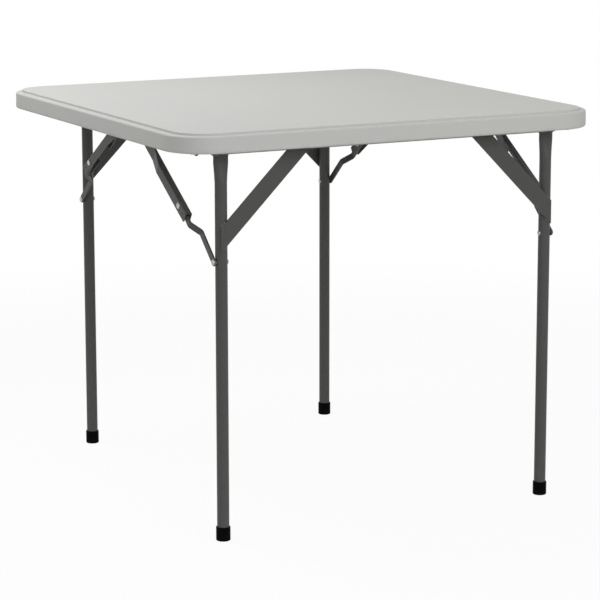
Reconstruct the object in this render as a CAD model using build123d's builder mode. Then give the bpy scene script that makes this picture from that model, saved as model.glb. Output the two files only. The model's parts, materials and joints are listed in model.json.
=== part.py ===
from build123d import *
import math
import os

os.makedirs("parts", exist_ok=True)

# Folding card table, in millimetres. The origin is on the floor under the middle of the top,
# +X runs along the front edge, +Y to the back and +Z up. The legs are modelled unfolded.

# Table top, as a whole
table_length = 860.0
table_depth = 860.0
table_height = 740.0
edge_height = 35.0
top_corner_radius = 84.0
edge_draft_angle = 1.2

# Raised field and low rim on the upper face
rim_width = 15.0
rim_drop = 4.2
field_corner_radius = 62.0
rim_edge_round = 3.2
field_edge_round = 1.0
field_foot_round = 0.6

# Underside of the top: panel, edge and moulded dimples
panel_thickness = 16.0
edge_thickness = 22.0
tray_corner_radius = 50.0
edge_bottom_round = 4.0
tray_roof_round = 5.0
plastic_wall = 2.6
dimple_pitch = 74.0
dimple_mouth_radius = 9.0
dimple_tip_radius = 3.0
dimple_side_margin = 158.0
dimple_end_margin = 88.0
screw_boss_radius = 6.0

# Leg frames
tube_radius = 11.0
tube_wall = 1.2
front_leg_inset = 47.0
nesting_step = 64.0
axle_inset = 27.0
front_axle_drop = 16.0
back_axle_drop = 13.5
flat_half_width = 14.3
flat_half_thickness = 6.0
flat_length = 14.0
flare_length = 34.0
weld_fit = 0.03

# Flat braces between the legs and the cross tubes
brace_width = 31.0
brace_thickness = 3.0
brace_angle = 45.0
brace_drop = 170.0
brace_overlap = 6.0

# Foot caps
cap_radius = 13.0
cap_height = 25.5
cap_floor = 4.0
cap_edge_round = 2.0
cap_lip_round = 0.8
cap_fit = 0.05

# Cross tube ends, bushes and retainers
journal_radius = 7.0
journal_wall = 1.5
journal_reach = 8.5
neck_setback = 17.0
neck_length = 5.0
bush_wall = 1.5
bush_flange_radius = 10.0
bush_flange = 1.2
bush_proud = 0.4
running_fit = 0.05
side_play = 0.4
retainer_radius = 9.0
retainer_thickness = 2.0
retainer_round = 0.8

# Side rails under the top
rail_inset = 26.0
rail_thickness = 1.5
rail_height = 24.0
rail_flange_width = 18.0
rail_flange_setback = 9.0
rail_web_overhang = 9.0
rail_ear_radius = 10.2
rail_screw_count = 5
rail_screw_setback = 41.0

# Folding stays
stay_pivot_span = 275.0
stay_leg_drop = 201.0
knee_bend_angle = 9.0
front_arm_offset = 30.0
back_arm_offset = 32.0
arm_width = 12.6
arm_height = 20.0
arm_wall = 1.5
arm_inner_round = 0.6
arm_overhang = 32.0
arm_end = 8.0
arm_end_round = 7.6
arm_lip_round = 3.0
web_clearance = 0.3
squeeze_start = 105.0
squeeze_end = 145.0
squeezed_gap = 0.8
squeezed_inner_round = 0.3
notch_near = 22.0
notch_far = 82.0
notch_round = 7.0
stop_hole_radius = 1.4
stop_hole_distance = 21.0
link_width = 13.0
link_thickness = 3.0
link_leg_gap = 1.5
joggle_start = 45.0
joggle_length = 20.0
joggle_round = 9.0

# Rivets
rivet_radius = 3.0
rivet_fit = 0.05
rivet_head_radius = 5.6
rivet_head_height = 2.0
rivet_head_round = 1.5
leg_rivet_head_radius = 4.4
open_pivot_gap = 0.4

# Stay brackets
bracket_wall = 2.0
bracket_ear_radius = 9.0
bracket_length = 44.0
bracket_foot_width = 13.0
bracket_screw_span = 30.0
ear_play = 0.4

# Screws
screw_radius = 2.1
screw_length = 10.0
screw_head_radius = 4.0
screw_head_height = 2.2
screw_head_round = 1.2
screw_fit = 0.1
recess_size = 1.1
recess_depth = 1.1

# One overrun serves all cuts
overrun = 1.0

# Heights and places that follow
edge_z = table_height - edge_height
underside_z = table_height - panel_thickness
rim_z = table_height - rim_drop
tray_length = table_length - 2 * edge_thickness
tray_depth = table_depth - 2 * edge_thickness
field_length = table_length - 2 * rim_width
field_depth = table_depth - 2 * rim_width
front_axle_z = underside_z - front_axle_drop
back_axle_z = underside_z - back_axle_drop
brace_height = underside_z - brace_drop
dimple_field_length = tray_length - 2 * dimple_side_margin
dimple_field_depth = tray_depth - 2 * dimple_end_margin
rail_x = tray_length / 2 - rail_inset
axle_y = tray_depth / 2 - axle_inset
front_leg_x = rail_x - front_leg_inset
back_leg_x = front_leg_x - nesting_step
front_arm_x = front_leg_x + front_arm_offset
back_arm_x = back_leg_x + back_arm_offset
rail_flange_length = 2 * (axle_y - rail_flange_setback)
rail_web_length = 2 * (axle_y + rail_web_overhang)
rail_screw_span = 2 * (axle_y - rail_screw_setback)

# Stay geometry: bent a little at the knee when open, folded flat under the top when the legs
# are folded, where the arm then lies along the link
knee_bend = math.radians(knee_bend_angle)
fold_offset = stay_pivot_span - stay_leg_drop
stay_reach = math.hypot(stay_pivot_span, stay_leg_drop)
bend_factor = 1 + math.cos(knee_bend)
bend_root = math.sqrt((fold_offset * bend_factor) ** 2 + 2 * bend_factor * (stay_reach**2 - fold_offset**2))
link_length = (bend_root - fold_offset * bend_factor) / (2 * bend_factor)
arm_length = link_length + fold_offset
chord_angle = math.atan2(stay_leg_drop, stay_pivot_span)
arm_angle = chord_angle - math.asin(link_length * math.sin(knee_bend) / stay_reach)
link_angle = arm_angle + knee_bend
web_inner = link_width / 2 + web_clearance
arm_top = web_inner + arm_wall
squeezed_width = 2 * arm_wall + squeezed_gap
squeezed_height = arm_height + (arm_width - squeezed_width) / 2
stay_pivot_y = axle_y - stay_pivot_span

# Screw places
rail_screw_x = rail_x + (rail_thickness + rail_flange_width) / 2
rail_screw_pitch = rail_screw_span / (rail_screw_count - 1)
rail_screw_places = [
    (side * rail_screw_x, index * rail_screw_pitch - rail_screw_span / 2)
    for side in (-1, 1)
    for index in range(rail_screw_count)
]


class Corner:
    """The measures of one quarter of the table, for its pieces as the +X, -Y quarter has them."""

    def __init__(self, leg_x, axle_z, arm_x, foot_inward, squeezed_inward):
        self.leg_x = leg_x
        self.axle_z = axle_z
        self.arm_x = arm_x
        self.link_x = leg_x + tube_radius + link_leg_gap + link_thickness / 2
        self.arm_inner_x = arm_x - arm_width / 2
        self.arm_outer_x = arm_x + arm_width / 2
        if squeezed_inward:
            self.flat_inner_x = self.arm_inner_x
        else:
            self.flat_inner_x = self.arm_outer_x - squeezed_width
        self.flat_outer_x = self.flat_inner_x + squeezed_width
        self.ear_inner_x = self.flat_inner_x - ear_play - bracket_wall
        self.ear_outer_x = self.flat_outer_x + ear_play + bracket_wall
        if foot_inward:
            self.foot_x = self.ear_inner_x - bracket_foot_width
            self.foot_end_x = self.ear_inner_x
        else:
            self.foot_x = self.ear_outer_x
            self.foot_end_x = self.ear_outer_x + bracket_foot_width
        self.foot_screw_x = (self.foot_x + self.foot_end_x) / 2
        self.upper_pivot = Vector(0, -stay_pivot_y, axle_z)
        self.arm_along = Vector(0, -math.cos(arm_angle), -math.sin(arm_angle))
        self.link_along = Vector(0, -math.cos(link_angle), -math.sin(link_angle))
        self.knee = self.upper_pivot + self.arm_along * arm_length
        self.leg_pivot = self.knee + self.link_along * link_length


# The stay arms are of two hands, each used at two opposite corners
front_measures = (front_leg_x, front_axle_z, front_arm_x, True)
back_measures = (back_leg_x, back_axle_z, back_arm_x, False)
corners = {
    ("front", "left"): Corner(*front_measures, squeezed_inward=True),
    ("front", "right"): Corner(*front_measures, squeezed_inward=False),
    ("back", "left"): Corner(*back_measures, squeezed_inward=False),
    ("back", "right"): Corner(*back_measures, squeezed_inward=True),
}
ends = {"front": corners["front", "right"], "back": corners["back", "right"]}

bracket_screw_places = [
    (across * corner.foot_screw_x, along * (stay_pivot_y + offset))
    for (end, side), corner in corners.items()
    for across, along in [(-1 if side == "left" else 1, -1 if end == "front" else 1)]
    for offset in (-bracket_screw_span / 2, bracket_screw_span / 2)
]


def placed(solid, side, end):
    """Turn a piece made for the front right quarter into the one of another quarter."""
    if side == "left":
        solid = mirror(solid, about=Plane.YZ)
    if end == "back":
        solid = mirror(solid, about=Plane.XZ)
    return solid


def save(solid, name):
    """Label a finished piece and write it."""
    solid.label = name
    export_step(solid, f"parts/{name}.step")


def arm_side_plane(corner, x):
    """The plane of a stay arm at a given X: local x runs down the arm, local y to its web."""
    origin = Vector(x, corner.upper_pivot.Y, corner.upper_pivot.Z)
    return Plane(origin=origin, x_dir=corner.arm_along, z_dir=(-1, 0, 0))


def arm_section_plane(corner, distance):
    """The plane across a stay arm at a distance from its upper pivot: local x is +X."""
    origin = corner.upper_pivot + corner.arm_along * distance
    return Plane(origin=origin, x_dir=(1, 0, 0), z_dir=corner.arm_along)


# Moulded top: sealed hollow inside, with solid bosses for the screws and dimples that
# tie the lower wall to the upper one
def dimple_places():
    columns = int(dimple_field_length / dimple_pitch) + 1
    rows = int(dimple_field_depth / dimple_pitch) + 1
    return GridLocations(dimple_pitch, dimple_pitch, columns, rows)


dimple_depth = panel_thickness - 2 * plastic_wall
dimple_flare = (dimple_mouth_radius - dimple_tip_radius) / dimple_depth

with BuildPart() as cavity:
    with BuildSketch(Plane.XY.offset(edge_z + plastic_wall)):
        RectangleRounded(
            table_length - 2 * plastic_wall,
            table_depth - 2 * plastic_wall,
            top_corner_radius - plastic_wall,
        )
    extrude(amount=rim_z - edge_z - 2 * plastic_wall, taper=edge_draft_angle)
    fillet(cavity.edges().group_by(Axis.Z)[-1], rim_edge_round - plastic_wall)
    with BuildSketch(Plane.XY.offset(underside_z + plastic_wall)):
        RectangleRounded(
            field_length - 2 * plastic_wall,
            field_depth - 2 * plastic_wall,
            field_corner_radius - plastic_wall,
        )
    extrude(amount=panel_thickness - 2 * plastic_wall)
    with BuildSketch(Plane.XY.offset(edge_z)):
        RectangleRounded(
            tray_length + 2 * plastic_wall,
            tray_depth + 2 * plastic_wall,
            tray_corner_radius + plastic_wall,
        )
    extrude(amount=underside_z + plastic_wall - edge_z, mode=Mode.SUBTRACT)
    with BuildSketch(Plane.XY.offset(underside_z)):
        with dimple_places():
            Circle(dimple_mouth_radius + plastic_wall)
    extrude(amount=panel_thickness, taper=math.degrees(math.atan(dimple_flare)), mode=Mode.SUBTRACT)
    with BuildSketch(Plane.XY.offset(underside_z)):
        with Locations(*rail_screw_places, *bracket_screw_places):
            Circle(screw_boss_radius)
    extrude(amount=panel_thickness, mode=Mode.SUBTRACT)

with BuildPart() as table_top:
    with BuildSketch(Plane.XY.offset(edge_z)):
        RectangleRounded(table_length, table_depth, top_corner_radius)
    extrude(amount=rim_z - edge_z, taper=edge_draft_angle)
    fillet(table_top.edges().group_by(Axis.Z)[-1], rim_edge_round)
    with BuildSketch(Plane.XY.offset(rim_z - overrun)):
        RectangleRounded(field_length, field_depth, field_corner_radius)
    extrude(amount=rim_drop + overrun)
    fillet(table_top.edges().group_by(Axis.Z)[-1], field_edge_round)
    field_foot = [
        edge
        for edge in table_top.edges().filter_by_position(Axis.Z, rim_z, rim_z)
        if abs(edge.center().X) <= field_length / 2
        and abs(edge.center().Y) <= field_depth / 2
        and max(abs(edge.bounding_box().max.X), abs(edge.bounding_box().min.X)) <= field_length / 2 + overrun
        and max(abs(edge.bounding_box().max.Y), abs(edge.bounding_box().min.Y)) <= field_depth / 2 + overrun
    ]
    fillet(field_foot, field_foot_round)
    with BuildSketch(Plane.XY.offset(edge_z)):
        RectangleRounded(tray_length, tray_depth, tray_corner_radius)
    extrude(amount=underside_z - edge_z, mode=Mode.SUBTRACT)
    tray_roof = table_top.faces().filter_by(Plane.XY).filter_by_position(Axis.Z, underside_z, underside_z)
    fillet(tray_roof.edges(), tray_roof_round)
    fillet(table_top.edges().group_by(Axis.Z)[0], edge_bottom_round)
    with BuildSketch(Plane.XY.offset(underside_z)):
        with dimple_places():
            Circle(dimple_mouth_radius)
    extrude(amount=dimple_depth, taper=math.degrees(math.atan(dimple_flare)), mode=Mode.SUBTRACT)
    with BuildSketch(Plane.XY.offset(underside_z)):
        with Locations(*rail_screw_places, *bracket_screw_places):
            Circle(screw_radius + screw_fit)
    extrude(amount=screw_length, mode=Mode.SUBTRACT)
    add(cavity.part, mode=Mode.SUBTRACT)
save(table_top.part, "table_top")


# Side rails: a pressed angle with an ear around each cross tube end
with BuildPart() as side_rail:
    with BuildSketch(Plane.YZ.offset(rail_x)):
        with Locations((0, underside_z - rail_height / 2)):
            Rectangle(rail_web_length, rail_height)
        with Locations((-axle_y, front_axle_z), (axle_y, back_axle_z)):
            Circle(rail_ear_radius)
    extrude(amount=rail_thickness)
    with BuildSketch(Plane.XY.offset(underside_z - rail_thickness)):
        with Locations((rail_x + rail_flange_width / 2, 0)):
            Rectangle(rail_flange_width, rail_flange_length)
    extrude(amount=rail_thickness)
    with BuildSketch(Plane.YZ.offset(rail_x)):
        with Locations((-axle_y, front_axle_z), (axle_y, back_axle_z)):
            Circle(journal_radius + bush_wall + 2 * running_fit)
    extrude(amount=rail_thickness, mode=Mode.SUBTRACT)
    with BuildSketch(Plane.XY.offset(underside_z - rail_thickness)):
        with Locations(*[place for place in rail_screw_places if place[0] > 0]):
            Circle(screw_radius + screw_fit)
    extrude(amount=rail_thickness, mode=Mode.SUBTRACT)
save(side_rail.part, "side_rail_right")
save(placed(side_rail.part, "left", "front"), "side_rail_left")


# Screws: pan heads against the rails and brackets, with a cross recess
def screws(places, seat_z):
    with BuildPart() as group:
        with BuildSketch(Plane.XY.offset(seat_z)):
            with Locations(*places):
                Circle(screw_radius)
        extrude(amount=screw_length + underside_z - seat_z - overrun)
        with BuildSketch(Plane.XY.offset(seat_z)):
            with Locations(*places):
                Circle(screw_head_radius)
        extrude(amount=-screw_head_height)
        fillet(group.edges().group_by(Axis.Z)[0], screw_head_round)
        with BuildSketch(Plane.XY.offset(seat_z - screw_head_height)):
            with Locations(*places):
                Rectangle(2 * screw_radius, recess_size)
                Rectangle(recess_size, 2 * screw_radius)
        extrude(amount=recess_depth, mode=Mode.SUBTRACT)
    return group.part


save(screws(rail_screw_places, underside_z - rail_thickness), "rail_screws")
save(screws(bracket_screw_places, underside_z - bracket_wall), "bracket_screws")


# Cross tubes: full size between the legs, necked down beside them to a journal at each end
journal_end_x = rail_x + rail_thickness + journal_reach


def cross_tube(corner):
    neck_x = corner.leg_x + neck_setback
    journal_x = neck_x + neck_length
    with BuildPart() as tube:
        with BuildSketch(Plane.XZ.offset(axle_y)):
            with BuildLine():
                Polyline(
                    (0, corner.axle_z + tube_radius),
                    (neck_x, corner.axle_z + tube_radius),
                    (journal_x, corner.axle_z + journal_radius),
                    (journal_end_x, corner.axle_z + journal_radius),
                    (journal_end_x, corner.axle_z + journal_radius - journal_wall),
                    (journal_x, corner.axle_z + journal_radius - journal_wall),
                    (neck_x, corner.axle_z + tube_radius - tube_wall),
                    (0, corner.axle_z + tube_radius - tube_wall),
                    close=True,
                )
            make_face()
        revolve(axis=Axis((0, -axle_y, corner.axle_z), (1, 0, 0)))
        mirror(about=Plane.YZ)
    return tube.part


for end, corner in ends.items():
    save(placed(cross_tube(corner), "right", end), f"{end}_cross_tube")


# Bushes in the rails, and push-on retainers outside them
def rail_bush(corner):
    with BuildPart() as bush:
        with BuildSketch(Plane(origin=(rail_x, -axle_y, corner.axle_z), z_dir=(1, 0, 0))):
            Circle(journal_radius + bush_wall + running_fit)
            Circle(journal_radius + running_fit, mode=Mode.SUBTRACT)
        extrude(amount=rail_thickness + bush_proud)
        with BuildSketch(Plane(origin=(rail_x, -axle_y, corner.axle_z), z_dir=(-1, 0, 0))):
            Circle(bush_flange_radius)
            Circle(journal_radius + running_fit, mode=Mode.SUBTRACT)
        extrude(amount=bush_flange)
    return bush.part


def retainers(corner):
    seat_x = rail_x + rail_thickness + bush_proud + side_play
    with BuildPart() as ring:
        with BuildSketch(Plane(origin=(seat_x, -axle_y, corner.axle_z), z_dir=(1, 0, 0))):
            Circle(retainer_radius)
            Circle(journal_radius + running_fit, mode=Mode.SUBTRACT)
        extrude(amount=retainer_thickness)
        rim = ring.edges().filter_by(GeomType.CIRCLE).group_by(Axis.X)[-1].sort_by(SortBy.RADIUS)[-1]
        fillet(rim, retainer_round)
        mirror(about=Plane.YZ)
    return ring.part


for end, corner in ends.items():
    for side in ("left", "right"):
        save(placed(rail_bush(corner), side, end), f"{end}_{side}_bush")
    save(placed(retainers(corner), "right", end), f"{end}_cross_tube_retainers")


# Legs: round tube pressed flat at the top and saddled to the cross tube
def leg_core(corner, wall):
    """The leg's shape from the foot to its cross tube, thinner all round by a wall."""
    flat_start_z = corner.axle_z - tube_radius - flat_length
    flare_start_z = flat_start_z - flare_length
    with BuildPart() as core:
        with BuildSketch(Plane((corner.leg_x, -axle_y, cap_floor))):
            Circle(tube_radius - wall)
        extrude(amount=flare_start_z - cap_floor)
        with BuildSketch(Plane((corner.leg_x, -axle_y, flare_start_z))):
            Circle(tube_radius - wall)
        with BuildSketch(Plane((corner.leg_x, -axle_y, flat_start_z))):
            Ellipse(flat_half_width - wall, flat_half_thickness - wall)
        loft()
        with BuildSketch(Plane((corner.leg_x, -axle_y, flat_start_z))):
            Ellipse(flat_half_width - wall, flat_half_thickness - wall)
        extrude(amount=corner.axle_z - flat_start_z)
    return core.part


def leg(corner):
    saddle = Plane(origin=(corner.leg_x, -axle_y, corner.axle_z), z_dir=(1, 0, 0))
    rivet_line = Plane(origin=(corner.leg_x, corner.leg_pivot.Y, corner.leg_pivot.Z), z_dir=(1, 0, 0))
    with BuildPart() as tube:
        add(leg_core(corner, 0))
        add(leg_core(corner, tube_wall), mode=Mode.SUBTRACT)
        with BuildSketch(saddle):
            Circle(tube_radius + weld_fit)
        extrude(amount=flat_half_width + overrun, both=True, mode=Mode.SUBTRACT)
        with BuildSketch(rivet_line):
            Circle(rivet_radius + rivet_fit)
        extrude(amount=tube_radius + overrun, both=True, mode=Mode.SUBTRACT)
    return tube.part


# Foot caps: a cup pushed over the end of the tube
def foot_cap(corner):
    with BuildPart() as cap:
        with BuildSketch(Plane((corner.leg_x, -axle_y, 0))):
            Circle(cap_radius)
        extrude(amount=cap_height)
        fillet(cap.edges().group_by(Axis.Z)[0], cap_edge_round)
        fillet(cap.edges().group_by(Axis.Z)[-1], cap_lip_round)
        with BuildSketch(Plane((corner.leg_x, -axle_y, cap_floor))):
            Circle(tube_radius + cap_fit)
        extrude(amount=cap_height, mode=Mode.SUBTRACT)
    return cap.part


# Braces: flat strip on the outer face of the frame, upright at its lower end
def brace(corner):
    slope = math.tan(math.radians(brace_angle))
    half_rise = brace_width / 2 / math.cos(math.radians(brace_angle))
    end_x = corner.leg_x + brace_overlap
    end_z = brace_height - brace_overlap * slope
    rise = corner.axle_z - brace_height
    with BuildPart() as strip:
        with BuildSketch(Plane.XZ.offset(axle_y + tube_radius)):
            with BuildLine():
                Polyline(
                    (end_x, end_z - half_rise),
                    (end_x, end_z + half_rise),
                    (corner.leg_x - (rise - half_rise) / slope, corner.axle_z),
                    (corner.leg_x - (rise + half_rise) / slope, corner.axle_z),
                    close=True,
                )
            make_face()
        extrude(amount=brace_thickness)
    return strip.part


# Rivets along X, with a domed head at one end or both
def rivet(place, tail_x, head_x, head_radius, tail_head):
    length = abs(head_x - tail_x)
    towards = 1 if head_x > tail_x else -1
    with BuildPart() as pin:
        with BuildSketch(Plane(origin=(tail_x, place.Y, place.Z), z_dir=(towards, 0, 0))):
            Circle(rivet_radius)
        extrude(amount=length)
        with BuildSketch(Plane(origin=(head_x, place.Y, place.Z), z_dir=(towards, 0, 0))):
            Circle(head_radius)
        extrude(amount=rivet_head_height)
        crown = pin.edges().filter_by(GeomType.CIRCLE).sort_by(Axis.X, reverse=towards < 0)[-1]
        fillet(crown, rivet_head_round)
        if tail_head:
            with BuildSketch(Plane(origin=(tail_x, place.Y, place.Z), z_dir=(-towards, 0, 0))):
                Circle(head_radius)
            extrude(amount=rivet_head_height)
            crown = pin.edges().filter_by(GeomType.CIRCLE).sort_by(Axis.X, reverse=towards < 0)[0]
            fillet(crown, rivet_head_round)
    return pin.part


# Stay arms: a pressed channel, open below, squeezed flat towards its upper pivot
def channel_profile(inner_x, width, height, inner_round):
    outer_x = inner_x + width
    bottom = arm_top - height
    with BuildSketch() as profile:
        with BuildLine():
            Polyline(
                (inner_x, bottom),
                (inner_x, arm_top),
                (outer_x, arm_top),
                (outer_x, bottom),
                (outer_x - arm_wall, bottom),
                (outer_x - arm_wall, arm_top - arm_wall),
                (inner_x + arm_wall, arm_top - arm_wall),
                (inner_x + arm_wall, bottom),
                close=True,
            )
        make_face()
        fillet(profile.vertices().group_by(Axis.Y)[-2], inner_round)
        fillet(profile.vertices().group_by(Axis.Y)[-1], inner_round + arm_wall)
    return profile.sketch


def stay_arm(corner):
    squeezed_to = arm_length - squeeze_end
    open_from = arm_length - squeeze_start
    tip = arm_length + arm_overhang
    open_channel = channel_profile(corner.arm_inner_x, arm_width, arm_height, arm_inner_round)
    squeezed = channel_profile(corner.flat_inner_x, squeezed_width, squeezed_height, squeezed_inner_round)
    with BuildPart() as arm:
        with BuildSketch(arm_section_plane(corner, -arm_end)):
            add(squeezed)
        extrude(amount=squeezed_to + arm_end)
        with BuildSketch(arm_section_plane(corner, squeezed_to)):
            add(squeezed)
        with BuildSketch(arm_section_plane(corner, open_from)):
            add(open_channel)
        loft(ruled=True)
        with BuildSketch(arm_section_plane(corner, open_from)):
            add(open_channel)
        extrude(amount=tip - open_from)
        with BuildSketch(arm_side_plane(corner, corner.arm_x)) as outline:
            with BuildLine():
                Polyline(
                    (-arm_end, arm_top),
                    (tip, arm_top),
                    (tip, arm_top - squeezed_height),
                    (-arm_end, arm_top - squeezed_height),
                    close=True,
                )
            make_face()
            fillet(outline.vertices().group_by(Axis.X)[0], arm_end_round)
        extrude(amount=arm_width, both=True, mode=Mode.INTERSECT)
        lower_lips = arm.edges().filter_by(Axis.X).group_by(Axis.Z)[0]
        fillet(lower_lips, arm_lip_round)
        with BuildSketch(arm_side_plane(corner, corner.arm_x)):
            with Locations((0, 0), (arm_length, 0)):
                Circle(rivet_radius + rivet_fit)
        extrude(amount=arm_width, both=True, mode=Mode.SUBTRACT)
        with BuildSketch(arm_side_plane(corner, corner.arm_outer_x + overrun)):
            with Locations((arm_length + stop_hole_distance, 0)):
                Circle(stop_hole_radius)
        extrude(amount=arm_wall + 2 * overrun, mode=Mode.SUBTRACT)
        with BuildSketch(arm_side_plane(corner, corner.arm_inner_x + arm_wall + arm_inner_round)) as notch:
            with Locations((arm_length - (notch_near + notch_far) / 2, web_inner - arm_height / 2)):
                Rectangle(notch_far - notch_near, arm_height)
            fillet(notch.vertices().group_by(Axis.Y)[-1], notch_round)
        extrude(amount=arm_wall + arm_inner_round + overrun, mode=Mode.SUBTRACT)
    return arm.part


# Stay links: a flat bar that steps sideways from the arm's channel to the face of the leg
def stay_link(corner):
    step = corner.arm_x - corner.link_x
    end = link_width / 2
    half = link_thickness / 2
    joggle_end = joggle_start + joggle_length
    knee = Vector(corner.arm_x, corner.knee.Y, corner.knee.Z)
    along = corner.link_along
    edge_plane = Plane(origin=knee, x_dir=along, z_dir=(0, along.Z, -along.Y))
    link_side = Plane(origin=knee, x_dir=along, z_dir=(-1, 0, 0))
    lean = half * math.tan(math.atan2(step, joggle_length) / 2)
    with BuildPart() as link:
        with BuildSketch(edge_plane) as edge_view:
            with BuildLine():
                Polyline(
                    (-end, half),
                    (joggle_start + lean, half),
                    (joggle_end + lean, half - step),
                    (link_length + end, half - step),
                    (link_length + end, -half - step),
                    (joggle_end - lean, -half - step),
                    (joggle_start - lean, -half),
                    (-end, -half),
                    close=True,
                )
            make_face()
            bends = edge_view.vertices().filter_by_position(Axis.X, joggle_start - end, joggle_end + end)
            by_side = bends.sort_by(Axis.Y)
            outer = [by_side[0], by_side[-1]]
            inner = by_side[1:-1]
            fillet(outer, joggle_round)
            fillet(inner, joggle_round - link_thickness)
        extrude(amount=end, both=True)
        with BuildSketch(link_side):
            with Locations((link_length / 2, 0)):
                SlotCenterToCenter(link_length, link_width)
        extrude(amount=step + link_width, both=True, mode=Mode.INTERSECT)
        with BuildSketch(link_side):
            with Locations((0, 0), (link_length, 0)):
                Circle(rivet_radius + rivet_fit)
        extrude(amount=step + link_width, both=True, mode=Mode.SUBTRACT)
    return link.part


# Stay brackets: a base plate under the top with two ears around the arm's flat end
def stay_bracket(corner):
    pivot = corner.upper_pivot
    base_x = min(corner.foot_x, corner.ear_inner_x)
    base_end_x = max(corner.foot_end_x, corner.ear_outer_x)
    screw_offset = bracket_screw_span / 2
    foot_screws = [(corner.foot_screw_x, pivot.Y + offset) for offset in (-screw_offset, screw_offset)]
    with BuildPart() as bracket:
        with BuildSketch(Plane.XY.offset(underside_z - bracket_wall)):
            with Locations(((base_x + base_end_x) / 2, pivot.Y)):
                Rectangle(base_end_x - base_x, bracket_length)
            with Locations(*foot_screws):
                Circle(screw_radius + screw_fit, mode=Mode.SUBTRACT)
        extrude(amount=bracket_wall)
        for ear_x in (corner.ear_inner_x, corner.ear_outer_x - bracket_wall):
            with BuildSketch(Plane.YZ.offset(ear_x)):
                with Locations((pivot.Y, (pivot.Z + underside_z) / 2)):
                    Rectangle(2 * bracket_ear_radius, underside_z - pivot.Z)
                with Locations((pivot.Y, pivot.Z)):
                    Circle(bracket_ear_radius)
                    Circle(rivet_radius + rivet_fit, mode=Mode.SUBTRACT)
            extrude(amount=bracket_wall)
    return bracket.part


for (end, side), corner in corners.items():
    leg_outer_x = corner.leg_x + tube_radius
    pieces = {
        "leg": leg(corner),
        "foot_cap": foot_cap(corner),
        "brace": brace(corner),
        "stay_arm": stay_arm(corner),
        "stay_link": stay_link(corner),
        "stay_bracket": stay_bracket(corner),
        "stay_pivot_rivet": rivet(
            corner.upper_pivot, corner.ear_inner_x, corner.ear_outer_x, rivet_head_radius, True
        ),
        "knee_rivet": rivet(corner.knee, corner.arm_inner_x, corner.arm_outer_x, rivet_head_radius, True),
        "stay_end_rivet": rivet(
            corner.leg_pivot,
            leg_outer_x + open_pivot_gap,
            corner.link_x + link_thickness / 2,
            rivet_head_radius,
            False,
        ),
        "leg_rivet": rivet(
            corner.leg_pivot, leg_outer_x, corner.leg_x - tube_radius, leg_rivet_head_radius, False
        ),
    }
    for kind, solid in pieces.items():
        save(placed(solid, side, end), f"{end}_{side}_{kind}")
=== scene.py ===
import json
import math

import bpy
from mathutils import Matrix, Vector


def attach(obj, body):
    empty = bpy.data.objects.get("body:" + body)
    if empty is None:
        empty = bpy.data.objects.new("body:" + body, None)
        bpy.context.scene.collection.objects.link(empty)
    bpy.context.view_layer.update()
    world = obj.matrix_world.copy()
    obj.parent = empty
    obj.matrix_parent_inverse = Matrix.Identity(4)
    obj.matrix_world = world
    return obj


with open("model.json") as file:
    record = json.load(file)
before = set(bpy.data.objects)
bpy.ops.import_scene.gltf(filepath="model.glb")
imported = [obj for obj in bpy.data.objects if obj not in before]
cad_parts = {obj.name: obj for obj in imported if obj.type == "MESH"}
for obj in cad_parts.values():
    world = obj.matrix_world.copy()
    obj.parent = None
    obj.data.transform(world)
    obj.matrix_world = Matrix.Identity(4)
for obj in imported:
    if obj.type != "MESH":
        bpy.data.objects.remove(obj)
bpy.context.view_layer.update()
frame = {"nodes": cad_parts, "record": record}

# Places and sizes of the table that the finishes and welds follow, in metres
FIELD_Z = 0.74
RIM_Z = 0.7358
EDGE_Z = 0.705
AXLE_Y = 0.381
TUBE_RADIUS = 0.011
FLAT_HALF_WIDTH = 0.0143
FLAT_HALF_THICKNESS = 0.006
LEG_X = {"front": 0.335, "back": 0.271}
AXLE_Z = {"front": 0.708, "back": 0.7105}
TOWARDS = {"front": -1, "back": 1}
BRACE_HEIGHT = 0.554
BRACE_WIDTH = 0.031
DIMPLE_PITCH = 0.074
DIMPLES_HALF_X = 0.236
DIMPLES_HALF_Y = 0.31
SOLE_RADIUS = 0.0105
KNEE_Y = 0.281
KNEE_Z = 0.59716
STAY_END_Z = 0.50825
BACK_STAY_RISE = 0.0025

# Colours, linear
PALE_GREY = (0.560, 0.560, 0.534, 1)
COOL_GREY = (0.545, 0.550, 0.531, 1)
COAT_GREY = (0.0700, 0.0710, 0.0672, 1)
# Paler weld grey: painted sheen for the welds' reflections
WELD_GREY_PAINTED_SHEEN = (0.115, 0.115, 0.108, 1)
ZINC = (0.50, 0.50, 0.49, 1)
DULL_ZINC = (0.42, 0.41, 0.38, 1)
RUBBER_BLACK = (0.0026, 0.0026, 0.0026, 1)
NYLON_BLACK = (0.022, 0.022, 0.023, 1)
PAPER_WHITE = (0.92, 0.92, 0.92, 1)
WHITE = (1, 1, 1, 1)


# Node trees, written as expressions
class Value:
    """A socket's value. Arithmetic on it adds Math nodes to its tree."""

    def __init__(self, tree, socket):
        self.tree = tree
        self.socket = socket

    def math(self, operation, *others):
        return self.tree.node("ShaderNodeMath", {"operation": operation}, (self, *others))

    def __add__(self, other):
        return self.math("ADD", other)

    def __sub__(self, other):
        return self.math("SUBTRACT", other)

    def __mul__(self, other):
        return self.math("MULTIPLY", other)

    def __rsub__(self, other):
        return self.tree.node("ShaderNodeMath", {"operation": "SUBTRACT"}, (other, self))

    __radd__ = __add__

    def __abs__(self):
        return self.math("ABSOLUTE")

    def step(self, low, high):
        """0 at low, 1 at high, with a smooth change between them."""
        sockets = {"Value": self, "From Min": low, "From Max": high}
        return self.tree.node("ShaderNodeMapRange", {"interpolation_type": "SMOOTHSTEP"}, sockets)

    def out(self, name):
        """Another output of the same node."""
        return Value(self.tree, self.socket.node.outputs[name])


def distance(across, along):
    return (across * across + along * along).math("SQRT")


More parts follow.
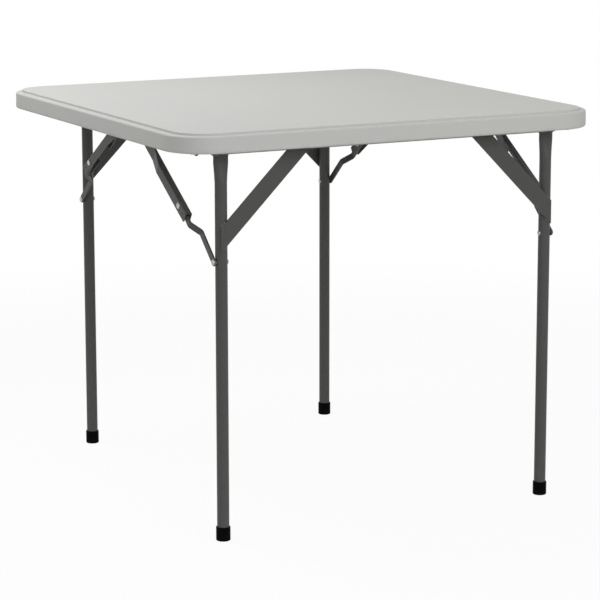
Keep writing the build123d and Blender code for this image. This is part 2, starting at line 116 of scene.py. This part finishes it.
class Tree:
    """A node tree that is filled by one method."""

    def __init__(self, tree):
        self.tree = tree
        self.tree.nodes.clear()

    def node(self, kind, settings=None, sockets=(), output=0):
        """Add a node with its settings and its sockets' values or links, and give one output."""
        node = self.tree.nodes.new(kind)
        for name, value in (settings or {}).items():
            setattr(node, name, value)
        for key, value in sockets.items() if isinstance(sockets, dict) else enumerate(sockets):
            if isinstance(value, Value):
                self.tree.links.new(value.socket, node.inputs[key])
            else:
                node.inputs[key].default_value = value
        return Value(self, node.outputs[output]) if node.outputs else None

    def seen(self):
        """1 for rays that show the background: from the camera, reflected or let through."""
        path = self.node("ShaderNodeLightPath")
        seen = path.out("Is Camera Ray").math("MAXIMUM", path.out("Is Glossy Ray"))
        return seen.math("MAXIMUM", path.out("Is Transmission Ray"))


class Finish(Tree):
    """The material of one finish, in the coordinates of the table."""

    def __init__(self, name):
        self.material = bpy.data.materials.new(name)
        self.material.use_nodes = True
        super().__init__(self.material.node_tree)
        self.place = self.node("ShaderNodeTexCoord", output="Object")
        parts = self.node("ShaderNodeSeparateXYZ", sockets=(self.place,))
        self.x, self.y, self.z = (parts.out(axis) for axis in "XYZ")

    def noise(self, scale, detail=2.0, rough=0.5, place=None):
        """Cloudy variation around 0.5, with features of about 1 / scale metres."""
        sockets = {"Vector": place or self.place, "Scale": scale, "Detail": detail, "Roughness": rough}
        return self.node("ShaderNodeTexNoise", {"noise_dimensions": "3D"}, sockets)

    def streaks(self, scales, detail, rough, turn=(0, 0, 0)):
        """Noise of another scale along each axis, for marks that run one way."""
        sockets = {"Vector": self.place, "Rotation": turn, "Scale": scales}
        stretched = self.node("ShaderNodeMapping", {"vector_type": "POINT"}, sockets)
        return self.noise(1.0, detail, rough, stretched)

    def pebbles(self, scale):
        """The distance from the nearest of scattered points, with soft seams between them."""
        sockets = {"Vector": self.place, "Scale": scale}
        return self.node("ShaderNodeTexVoronoi", {"feature": "SMOOTH_F1"}, sockets)

    def from_grid(self, value, pitch):
        """The distance from the nearest multiple of a pitch."""
        return self.node("ShaderNodeMath", {"operation": "PINGPONG"}, (value, pitch / 2))

    def mix(self, amount, first, second):
        """A colour between two colours."""
        sockets = {0: amount, 6: first, 7: second}
        return self.node("ShaderNodeMix", {"data_type": "RGBA"}, sockets, 2)

    def tinted(self, colour, light):
        """A colour made lighter or darker by a value around 1."""
        grey = self.node("ShaderNodeCombineColor", sockets=(light, light, light))
        settings = {"data_type": "RGBA", "blend_type": "MULTIPLY"}
        return self.node("ShaderNodeMix", settings, {0: 1.0, 6: colour, 7: grey}, 2)

    def shade(self, colour, rough, height, metallic=0.0, gloss=0.5):
        """Finish the material. The height is in metres."""
        bump = {"Strength": 1.0, "Distance": 1.0, "Height": height}
        sockets = {
            "Base Color": colour,
            "Roughness": rough,
            "Metallic": metallic,
            "Specular IOR Level": gloss,
            "Normal": self.node("ShaderNodeBump", sockets=bump),
        }
        bsdf = self.node("ShaderNodeBsdfPrincipled", sockets=sockets)
        self.node("ShaderNodeOutputMaterial", sockets={"Surface": bsdf})
        return self.material


# Moulded top: pale grey, with a fine pebbled grain, faint sinks over the dimples that tie the
# two walls together, slow waves and a few rub marks on the field
def top_plastic():
    f = Finish("moulded pale grey plastic")
    grain = f.pebbles(780.0) * 0.6 + f.noise(1500.0, 3.0, 0.6) * 0.5
    waves = f.noise(11.0, 1.0)
    dimple = distance(f.from_grid(f.x, DIMPLE_PITCH), f.from_grid(f.y, DIMPLE_PITCH))
    sink = 1 - dimple.step(0.002, 0.016)
    within_x = 1 - abs(f.x).step(DIMPLES_HALF_X - 0.004, DIMPLES_HALF_X + 0.004)
    within_y = 1 - abs(f.y).step(DIMPLES_HALF_Y - 0.004, DIMPLES_HALF_Y + 0.004)
    sinks = sink * within_x * within_y * f.z.step(FIELD_Z - 0.0015, FIELD_Z - 0.0005)
    along_rubs = f.streaks((26.0, 300.0, 60.0), 4.0, 0.62, (0, 0, 0.5)).step(0.62, 0.78)
    cross_rubs = f.streaks((340.0, 22.0, 60.0), 4.0, 0.62, (0, 0, -0.3)).step(0.64, 0.78)
    scuffs = (along_rubs + cross_rubs) * f.z.step(RIM_Z - 0.0006, RIM_Z + 0.0004)
    clouds = f.noise(4.2, 3.0, 0.55)
    specks = f.noise(420.0, 2.0, 0.7)
    lower_edge = 1 - f.z.step(EDGE_Z + 0.001, EDGE_Z + 0.014)
    handled = lower_edge * f.noise(38.0, 3.0).step(0.42, 0.66)
    light = 0.965 + clouds * 0.05 + specks * 0.035 - handled * 0.05 + scuffs * 0.02
    rough = 0.54 + clouds * 0.06 + specks * 0.05 + scuffs * 0.10
    height = grain * 0.000016 + waves * 0.00035 - sinks * 0.00003
    tone = f.mix(f.noise(2.3, 2.0).step(0.35, 0.65), PALE_GREY, COOL_GREY)
    return f.shade(f.tinted(tone, light), rough, height, gloss=0.28)


# Powder coat on the frame: dark grey, satin, with orange peel, rubbed around the pivots and
# scuffed near the feet
def frame_paint():
    f = Finish("dark grey powder coat")
    peel = f.noise(620.0, 2.0, 0.5) * 0.7 + f.noise(1900.0, 2.0, 0.6) * 0.3
    specks = f.noise(3200.0, 1.0)
    clouds = f.noise(13.0, 3.0, 0.6)
    level = f.y.math("SIGN") * (BACK_STAY_RISE / 2)
    knee = distance(abs(f.y) - KNEE_Y, f.z - KNEE_Z - level)
    stay_end = distance(abs(f.y) - AXLE_Y, f.z - STAY_END_Z - level)
    at_pivots = (1 - knee.step(0.0065, 0.0105)) + (1 - stay_end.step(0.0065, 0.0105))
    rubbed = at_pivots * f.noise(520.0, 3.0).step(0.38, 0.62)
    low = 1 - f.z.step(0.03, 0.21)
    scuffs = f.streaks((420.0, 420.0, 26.0), 4.0, 0.65).step(0.66, 0.76) * (0.25 + low)
    # Paler, rougher patches towards the feet
    pale_patches_low = f.noise(60.0, 4.0, 0.7).step(0.45, 0.8) * low
    light = 0.90 + clouds * 0.12 + specks * 0.10 + rubbed * 0.35 + scuffs * 0.55 + pale_patches_low * 0.16
    rough = 0.40 + clouds * 0.08 + peel * 0.05 + pale_patches_low * 0.12 - rubbed * 0.10 + scuffs * 0.08
    height = peel * 0.000022 - scuffs * 0.000012 - rubbed * 0.000004
    return f.shade(f.tinted(COAT_GREY, light), rough, height, gloss=0.25)


# Welds under the same coat: a little glossier, and a little paler in colour, which is painted sheen
# standing in for their reflections
def weld_paint():
    f = Finish("coated weld, painted sheen")
    grain = f.noise(1400.0, 3.0, 0.6)
    light = 0.85 + grain * 0.5
    rough = 0.30 + grain * 0.14
    return f.shade(f.tinted(WELD_GREY_PAINTED_SHEEN, light), rough, grain * 0.00005)


# Zinc on the rivets, screws and retainers
def bright_zinc():
    f = Finish("zinc plate")
    brushed = f.streaks((300.0, 2600.0, 2600.0), 3.0, 0.6)
    blotches = f.noise(260.0, 3.0, 0.6)
    tarnish = f.noise(90.0, 2.0).step(0.45, 0.75)
    light = 0.86 + blotches * 0.22 - tarnish * 0.10
    rough = 0.30 + brushed * 0.12 + tarnish * 0.12
    height = brushed * 0.00001 + blotches * 0.00002
    return f.shade(f.tinted(f.mix(tarnish, ZINC, DULL_ZINC), light), rough, height, metallic=1.0)


# Foot caps: matt black, with rings under the sole and paler scuffs at its edge
def foot_rubber():
    f = Finish("matt black rubber")
    middle = (LEG_X["front"] + LEG_X["back"]) / 2
    spread = (LEG_X["front"] - LEG_X["back"]) / 2
    leg_x = middle - f.y.math("SIGN") * spread
    radius = distance(abs(f.x) - leg_x, abs(f.y) - AXLE_Y)
    sole = (1 - f.z.step(0.0006, 0.0014)) * (1 - radius.step(SOLE_RADIUS, SOLE_RADIUS + 0.0007))
    rings = (radius * 2600.0).math("SINE") * sole
    grain = f.noise(900.0, 3.0, 0.6)
    scuffs = f.noise(240.0, 4.0, 0.7).step(0.42, 0.7) * (1 - f.z.step(0.0015, 0.012))
    light = 0.8 + grain * 0.4 + scuffs * 1.6
    rough = 0.50 + grain * 0.12 + scuffs * 0.2
    height = rings * 0.0002 + grain * 0.00002
    return f.shade(f.tinted(RUBBER_BLACK, light), rough, height, gloss=0.02)


# Nylon bushes in the rails
def bush_plastic():
    f = Finish("black nylon")
    grain = f.noise(1200.0, 2.0, 0.6)
    light = 0.8 + f.noise(140.0, 2.0) * 0.4
    return f.shade(f.tinted(NYLON_BLACK, light), 0.34 + grain * 0.1, grain * 0.00001)


finishes = {
    "top_plastic": top_plastic(),
    "frame_paint": frame_paint(),
    "bright_zinc": bright_zinc(),
    "foot_rubber": foot_rubber(),
    "bush_plastic": bush_plastic(),
}
weld_finish = weld_paint()

for subpart in frame["record"]["subparts"]:
    mesh = frame["nodes"][subpart["node"]].data
    mesh.materials.clear()
    mesh.materials.append(finishes[subpart["material_slot"]])


# Weld beads: ripples laid along the seams of each leg frame
def ripple_tree():
    group = bpy.data.node_groups.new("weld ripples", "GeometryNodeTree")
    group.interface.new_socket("Seams", in_out="INPUT", socket_type="NodeSocketGeometry")
    inputs = {"Radius": "Float", "Spacing": "Float", "Seed": "Int", "Finish": "Material"}
    for name, kind in inputs.items():
        group.interface.new_socket(name, in_out="INPUT", socket_type="NodeSocket" + kind)
    group.interface.new_socket("Beads", in_out="OUTPUT", socket_type="NodeSocketGeometry")
    tree = Tree(group)
    given = tree.node("NodeGroupInput")
    seam = tree.node("GeometryNodeMeshToCurve", sockets={"Mesh": given.out("Seams")})
    sockets = {"Curve": seam, "Length": given.out("Spacing")}
    path = tree.node("GeometryNodeResampleCurve", {"mode": "LENGTH"}, sockets)
    sockets = {"Radius": given.out("Radius"), "Subdivisions": 2}
    ripple = tree.node("GeometryNodeMeshIcoSphere", sockets=sockets)
    ripple = tree.node("GeometryNodeSetShadeSmooth", sockets={"Geometry": ripple})
    sockets = {2: 0.8, 3: 1.15, "Seed": given.out("Seed")}
    size = tree.node("FunctionNodeRandomValue", {"data_type": "FLOAT"}, sockets, 1)
    sockets = {"Points": path, "Instance": ripple, "Scale": size}
    beads = tree.node("GeometryNodeInstanceOnPoints", sockets=sockets)
    beads = tree.node("GeometryNodeRealizeInstances", sockets={"Geometry": beads})
    sockets = {"Geometry": beads, "Material": given.out("Finish")}
    beads = tree.node("GeometryNodeSetMaterial", sockets=sockets)
    tree.node("NodeGroupOutput", sockets={"Beads": beads})
    return group


ripples = ripple_tree()


def beads(name, seams, radius, spacing, seed):
    """Lay ripples along seams, each a list of points, and give them as one plain mesh."""
    points = []
    edges = []
    for seam in seams:
        start = len(points)
        points += seam
        edges += [(index, index + 1) for index in range(start, len(points) - 1)]
    line = bpy.data.meshes.new(name)
    line.from_pydata(points, edges, [])
    guide = bpy.data.objects.new(name + "_seams", line)
    bpy.context.scene.collection.objects.link(guide)
    layer = guide.modifiers.new("ripples", "NODES")
    layer.node_group = ripples
    given = {"Radius": radius, "Spacing": spacing, "Seed": seed, "Finish": weld_finish}
    for item in ripples.interface.items_tree:
        if item.name in given:
            layer[item.identifier] = given[item.name]
    evaluated = guide.evaluated_get(bpy.context.evaluated_depsgraph_get())
    mesh = bpy.data.meshes.new_from_object(evaluated)
    bpy.data.objects.remove(guide)
    piece = bpy.data.objects.new(name, mesh)
    bpy.context.scene.collection.objects.link(piece)
    return piece


def brace_seams(end, side):
    """Seams of one brace: above and below it on the leg, and along the cross tube."""
    leg_x = LEG_X[end]
    rise = AXLE_Z[end] - BRACE_HEIGHT
    half_rise = BRACE_WIDTH / 2 * math.sqrt(2)
    proud = 0.0004
    pace = 0.001

    def on_leg(offset, edge):
        x = leg_x + offset
        y = AXLE_Y + math.sqrt(TUBE_RADIUS**2 - offset**2) + proud
        z = BRACE_HEIGHT - offset + edge * (half_rise + proud)
        return Vector((side * x, TOWARDS[end] * y, z))

    def on_tube(drop, edge):
        z = AXLE_Z[end] - drop
        x = leg_x - (rise - drop) - edge * (half_rise + proud)
        y = AXLE_Y + math.sqrt(TUBE_RADIUS**2 - drop**2) + proud
        return Vector((side * x, TOWARDS[end] * y, z))

    upper = [on_leg(pace * index, 1) for index in range(-2, 6)]
    lower = [on_leg(pace * index, -1) for index in range(-4, 5)]
    ends = [[on_tube(pace * index, edge) for index in range(7)] for edge in (-1, 1)]
    return [upper, lower, *ends]


def saddle_seam(end, side):
    """The seam around a leg's flat end where it meets the cross tube."""
    paces = 48
    outside = 0.0002
    proud = 0.0003
    seam = []
    for index in range(paces + 1):
        angle = 2 * math.pi * index / paces
        across = (FLAT_HALF_WIDTH + outside) * math.cos(angle)
        along = (FLAT_HALF_THICKNESS + outside) * math.sin(angle)
        x = side * (LEG_X[end] + across)
        y = TOWARDS[end] * AXLE_Y + along
        z = AXLE_Z[end] - math.sqrt(TUBE_RADIUS**2 - along**2) - proud
        seam.append(Vector((x, y, z)))
    return seam


RIPPLE_RADIUS = 0.0013
RIPPLE_SPACING = 0.0009
for seed, end in enumerate(("front", "back")):
    seams = []
    for side in (-1, 1):
        seams += brace_seams(end, side)
        seams.append(saddle_seam(end, side))
    welds = beads(f"{end}_welds", seams, RIPPLE_RADIUS, RIPPLE_SPACING, seed)
    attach(welds, f"{end}_legs")


# Floor, backdrop and light. The floor is white to the eye and keeps the table's shadow near it,
# clear from below, and darker away from the table where it only lights it
def stage_floor():
    f = Finish("studio floor")
    reach = distance(f.x, f.y)
    light = 0.98 + f.noise(30.0, 3.0) * 0.04 - reach.step(0.7, 2.4) * 0.60
    paper = f.node("ShaderNodeBsdfDiffuse", sockets={"Color": f.tinted(PAPER_WHITE, light)})
    white = f.node("ShaderNodeEmission", sockets={"Color": WHITE, "Strength": 1.0})
    plain = 0.93 + reach.step(0.9, 2.6) * 0.07
    lit = f.node("ShaderNodeMixShader", sockets=(f.seen() * plain, paper, white))
    below = f.node("ShaderNodeNewGeometry", output="Backfacing")
    clear = f.node("ShaderNodeBsdfTransparent")
    whole = f.node("ShaderNodeMixShader", sockets=(below, lit, clear))
    f.node("ShaderNodeOutputMaterial", sockets={"Surface": whole})
    half = 30.0
    mesh = bpy.data.meshes.new("floor")
    corners = [(-half, -half, 0), (half, -half, 0), (half, half, 0), (-half, half, 0)]
    mesh.from_pydata(corners, [], [(0, 1, 2, 3)])
    mesh.materials.append(f.material)
    floor = bpy.data.objects.new("floor", mesh)
    bpy.context.scene.collection.objects.link(floor)


def backdrop(ambient):
    """A white backdrop that lights the table as softly as a grey one."""
    world = bpy.data.worlds.new("backdrop")
    world.use_nodes = True
    tree = Tree(world.node_tree)
    sockets = {"Color": WHITE, "Strength": ambient + tree.seen() * (1 - ambient)}
    sky = tree.node("ShaderNodeBackground", sockets=sockets)
    tree.node("ShaderNodeOutputWorld", sockets={"Surface": sky})
    bpy.context.scene.world = world


def softbox(name, place, aim, size, power):
    lamp = bpy.data.lights.new(name, "AREA")
    lamp.shape = "SQUARE"
    lamp.size = size
    lamp.energy = power
    box = bpy.data.objects.new(name, lamp)
    box.location = place
    box.rotation_euler = (Vector(aim) - Vector(place)).to_track_quat("-Z", "Y").to_euler()
    bpy.context.scene.collection.objects.link(box)


stage_floor()
backdrop(ambient=0.41)
softbox("overhead", (-0.85, 0.5, 2.0), (-0.3, 0.1, 0.7), 0.9, 13.0)
softbox("left_side", (-3.2, -2.4, 1.8), (0, 0, 0.4), 1.8, 8.5)
softbox("front", (0.4, -4.0, 2.6), (0, 0, 0.4), 3.0, 80.0)


# Camera at the photograph's place
def camera(place, azimuth, elevation, roll, focal_pixels):
    frame_pixels = 600
    turn, tip, lean = (math.radians(angle) for angle in (azimuth, elevation, roll))
    ahead = Vector((-math.sin(turn) * math.cos(tip), math.cos(turn) * math.cos(tip), -math.sin(tip)))
    right = Vector((math.cos(turn), math.sin(turn), 0))
    up = right.cross(ahead)
    right, up = (
        right * math.cos(lean) + up * math.sin(lean),
        up * math.cos(lean) - right * math.sin(lean),
    )
    data = bpy.data.cameras.new("camera")
    data.sensor_width = 36.0
    data.lens = focal_pixels / frame_pixels * data.sensor_width
    data.clip_end = 60.0
    view = bpy.data.objects.new("camera", data)
    turned = Matrix((right, up, -ahead)).transposed()
    view.matrix_world = Matrix.Translation(place) @ turned.to_4x4()
    bpy.context.scene.collection.objects.link(view)
    bpy.context.scene.camera = view


camera(
    place=Vector((-2.21100, -4.33117, 1.30103)),
    azimuth=-27.213,
    elevation=11.157,
    roll=-0.064,
    focal_pixels=2528.4,
)
bpy.context.scene.view_settings.view_transform = "Standard"
